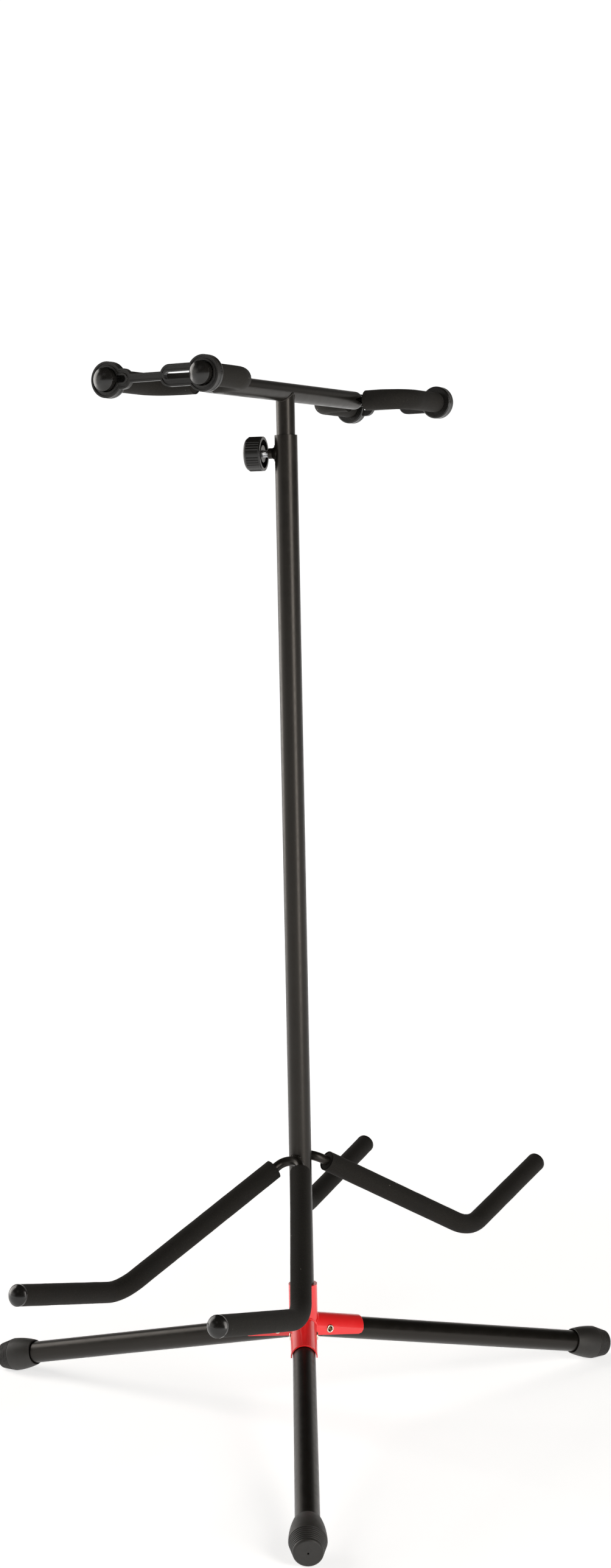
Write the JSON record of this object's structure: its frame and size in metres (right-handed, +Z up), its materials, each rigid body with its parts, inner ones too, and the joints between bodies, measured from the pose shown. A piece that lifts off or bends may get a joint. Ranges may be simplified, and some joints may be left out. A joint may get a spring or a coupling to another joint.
{
  "type": "double guitar floor stand",
  "caption": "Floor stand that holds guitars back to back: a telescoping post on folding legs, padded neck yokes with retaining straps, and padded body cradles.",
  "frame": {"origin": "on the floor, on the post's axis", "axes": "+Z up along the post, the crossbar along Y with the front at -Y, and the single side leg towards -X"},
  "size_m": [0.4904, 0.5756, 0.8861],
  "materials": {
    "tube_black": "satin black powder coat",
    "rod_black": "satin black powder coat",
    "hub_red": "gloss enamel",
    "rivet_nickel": "nickel plate",
    "stud_zinc": "zinc plate",
    "knob_black": "semi-gloss moulded",
    "cap_black": "semi-gloss moulded",
    "strap_black": "satin moulded",
    "foot_rubber": "matte moulded",
    "foam_black": "closed-cell foam",
    "glide_nylon": "matte"
  },
  "bodies": {
    "stand": {"hub_sleeve": "hub_red", "outer_post": "tube_black", "clamp_boss": "tube_black", "leg_bracket_front": "hub_red", "leg_bracket_rear": "hub_red", "leg_bracket_left": "hub_red", "leg_rivet_front": "rivet_nickel", "leg_rivet_rear": "rivet_nickel", "leg_rivet_left": "rivet_nickel", "cradle_rod_front": "rod_black", "cradle_rod_rear": "rod_black", "cradle_foam_front_left": "foam_black", "cradle_foam_front_right": "foam_black", "cradle_foam_rear_left": "foam_black", "cradle_foam_rear_right": "foam_black", "cradle_end_cap_front_left": "cap_black", "cradle_end_cap_front_right": "cap_black", "cradle_end_cap_rear_left": "cap_black", "cradle_end_cap_rear_right": "cap_black"},
    "glide": {"glide_plug": "glide_nylon"},
    "head": {"telescoping_tube": "tube_black", "crossbar": "tube_black", "yoke_rod_front": "rod_black", "yoke_rod_rear": "rod_black", "yoke_foam_front_left": "foam_black", "yoke_foam_front_right": "foam_black", "yoke_foam_rear_left": "foam_black", "yoke_foam_rear_right": "foam_black", "yoke_tip_cap_front_left": "cap_black", "yoke_tip_cap_front_right": "cap_black", "yoke_tip_cap_rear_left": "cap_black", "yoke_tip_cap_rear_right": "cap_black"},
    "clamp_screw": {"clamp_stud": "stud_zinc"},
    "clamp_grip": {"clamp_knob": "knob_black"},
    "leg_front": {"leg_tube_front": "tube_black", "rubber_foot_front": "foot_rubber"},
    "leg_rear": {"leg_tube_rear": "tube_black", "rubber_foot_rear": "foot_rubber"},
    "leg_left": {"leg_tube_left": "tube_black", "rubber_foot_left": "foot_rubber"},
    "strap_front": {"neck_strap_front": "strap_black"},
    "strap_rear": {"neck_strap_rear": "strap_black"}
  },
  "joints": [
    {"name": "leg_fold_front", "type": "hinge", "parent": "stand", "child": "leg_front", "pos_m": [0.00975, -0.01689, 0.079], "axis": [0.866, 0.5, 0], "range_deg": [0, 77]},
    {"name": "leg_fold_rear", "type": "hinge", "parent": "stand", "child": "leg_rear", "pos_m": [0.00975, 0.01689, 0.079], "axis": [-0.866, 0.5, 0], "range_deg": [0, 77]},
    {"name": "leg_fold_left", "type": "hinge", "parent": "stand", "child": "leg_left", "pos_m": [-0.0195, 0, 0.079], "axis": [0, -1, 0], "range_deg": [0, 77]},
    {"name": "height_slide", "type": "slide", "parent": "stand", "child": "glide", "axis": [0, 0, 1], "range_m": [-0.024, 0.18]},
    {"name": "head_swivel", "type": "hinge", "parent": "glide", "child": "head", "pos_m": [0, 0, 0.56], "axis": [0, 0, 1], "continuous": true},
    {"name": "clamp_feed", "type": "slide", "parent": "stand", "child": "clamp_screw", "axis": [-0.9703, -0.2419, 0], "range_m": [0, 0.002]},
    {"name": "clamp_turn", "type": "hinge", "parent": "clamp_screw", "child": "clamp_grip", "pos_m": [-0.026, -0.00648, 0.822], "axis": [-0.9703, -0.2419, 0], "range_deg": [0, 735]},
    {"name": "strap_pull_front", "type": "slide", "parent": "head", "child": "strap_front", "axis": [0, -1, 0], "range_m": [0, 0.04]},
    {"name": "strap_pull_rear", "type": "slide", "parent": "head", "child": "strap_rear", "axis": [0, 1, 0], "range_m": [0, 0.04]}
  ],
  "couplings": [
    {"joint": "clamp_turn", "follows": "clamp_feed", "rad_per_m": 6283.2}
  ]
}
